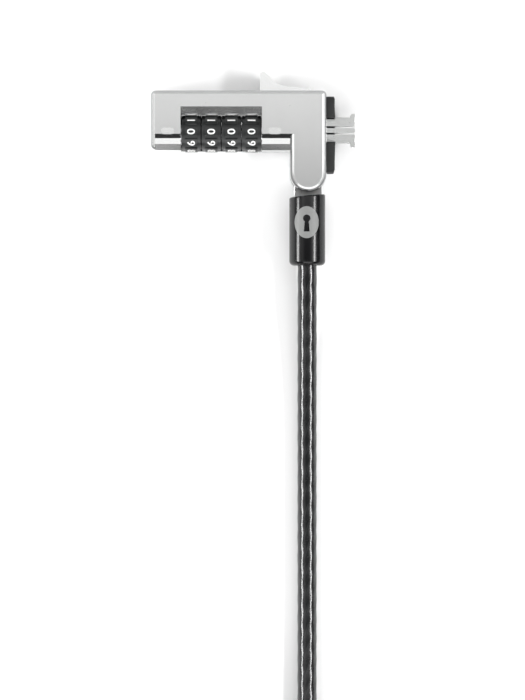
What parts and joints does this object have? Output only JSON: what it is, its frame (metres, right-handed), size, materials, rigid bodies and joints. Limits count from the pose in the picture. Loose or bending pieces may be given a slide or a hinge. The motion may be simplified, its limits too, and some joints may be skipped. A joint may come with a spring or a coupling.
{
  "type": "laptop cable lock",
  "caption": "L-shaped combination lock head with numbered dials, a thumb slider and spreading jaws for a laptop security slot, on a pivoting jacketed steel cable with an eye loop.",
  "frame": {"origin": "on the back face of the lock head, at the middle of the bar and below the dial axis", "axes": "+X out of the locking jaws, +Y towards the thumb slider, +Z out of the front face"},
  "size_m": [0.0553, 0.2977, 0.0215],
  "materials": {
    "satin_zinc": "satin silver paint on die-cast zinc",
    "cover_plate": "fine brushed plate",
    "steel_screw": "blackened screw heads",
    "black_rubber": "matt black",
    "cast_block": "fine cast",
    "steel_pin": "ground",
    "spring_steel": "drawn wire",
    "brass": "turned",
    "dial_black": "black with white numerals",
    "jaw_steel": "hardened, lightly blasted",
    "tongue_steel": "satin",
    "steel_strands": "twisted strands",
    "sleeve_black": "glossy black",
    "cable_jacket": "smoke jacket over twisted strands",
    "crimp_metal": "pressed",
    "strap_black": "woven hook-and-loop strap"
  },
  "bodies": {
    "lock_body": {"housing": "satin_zinc", "back_cover": "cover_plate", "cover_screws": "steel_screw", "rubber_pad": "black_rubber", "nose_block": "cast_block", "jaw_pins": "steel_pin", "jaw_spring": "spring_steel", "bush_left": "brass", "bush_right": "brass", "end_washers": "steel_pin", "detent_spring": "spring_steel", "slide_spring": "spring_steel", "swivel_pin": "steel_pin"},
    "dial_body_1": {"dial_1": "dial_black", "clutch_ring_1": "brass"},
    "dial_body_2": {"dial_2": "dial_black", "clutch_ring_2": "brass"},
    "dial_body_3": {"dial_3": "dial_black", "clutch_ring_3": "brass"},
    "dial_body_4": {"dial_4": "dial_black", "clutch_ring_4": "brass"},
    "release": {"thumb_slider": "satin_zinc", "slider_pin": "steel_pin", "slide_carriage": "cast_block", "spindle": "steel_pin", "spindle_nut": "brass", "spreader_bar": "jaw_steel", "spreader_rivet": "steel_pin"},
    "upper_jaw_body": {"upper_jaw": "jaw_steel"},
    "lower_jaw_body": {"lower_jaw": "jaw_steel"},
    "reset_body": {"reset_screw": "steel_screw"},
    "cable_body": {"swivel_tongue": "tongue_steel", "tongue_rivet": "steel_pin", "end_ferrule": "tongue_steel", "cable_core": "steel_strands", "cable_run": "cable_jacket", "cable_hank": "cable_jacket", "cable_tail": "cable_jacket", "loop_ferrule": "crimp_metal", "hank_strap": "strap_black"},
    "sleeve_body": {"cable_sleeve": "sleeve_black"}
  },
  "joints": [
    {"name": "dial_1_turn", "type": "hinge", "parent": "lock_body", "child": "dial_body_1", "pos_m": [-0.01218, 0, 0.0061], "axis": [1, 0, 0], "continuous": true},
    {"name": "dial_2_turn", "type": "hinge", "parent": "lock_body", "child": "dial_body_2", "pos_m": [-0.00702, 0, 0.0061], "axis": [1, 0, 0], "continuous": true},
    {"name": "dial_3_turn", "type": "hinge", "parent": "lock_body", "child": "dial_body_3", "pos_m": [-0.00187, 0, 0.0061], "axis": [1, 0, 0], "continuous": true},
    {"name": "dial_4_turn", "type": "hinge", "parent": "lock_body", "child": "dial_body_4", "pos_m": [0.00328, 0, 0.0061], "axis": [1, 0, 0], "continuous": true},
    {"name": "release_slide", "type": "slide", "parent": "lock_body", "child": "release", "axis": [-1, 0, 0], "range_m": [0, 0.005], "stiffness_N_per_m": 120, "springref_m": -0.004, "deforming": ["slide_spring"]},
    {"name": "upper_jaw_turn", "type": "hinge", "parent": "lock_body", "child": "upper_jaw_body", "pos_m": [0.0211, 0.0027, 0.0056], "axis": [0, 0, 1], "range_deg": [-6.4, 0]},
    {"name": "lower_jaw_turn", "type": "hinge", "parent": "lock_body", "child": "lower_jaw_body", "pos_m": [0.0211, -0.0015, 0.0056], "axis": [0, 0, 1], "range_deg": [0, 6.4]},
    {"name": "reset_turn", "type": "hinge", "parent": "lock_body", "child": "reset_body", "pos_m": [0.00425, 0.00775, 0.001], "axis": [0, 0, 1], "range_deg": [0, 90]},
    {"name": "cable_pivot", "type": "hinge", "parent": "lock_body", "child": "cable_body", "pos_m": [0.0178, -0.0106, 0.0056], "axis": [0, 0, 1], "range_deg": [-90, 40]},
    {"name": "sleeve_turn", "type": "hinge", "parent": "cable_body", "child": "sleeve_body", "pos_m": [0.0176, -0.025, 0.0056], "axis": [0, 1, 0], "continuous": true}
  ],
  "couplings": [
    {"joint": "upper_jaw_turn", "follows": "release_slide", "rad_per_m": -21.64},
    {"joint": "lower_jaw_turn", "follows": "release_slide", "rad_per_m": 21.64}
  ]
}
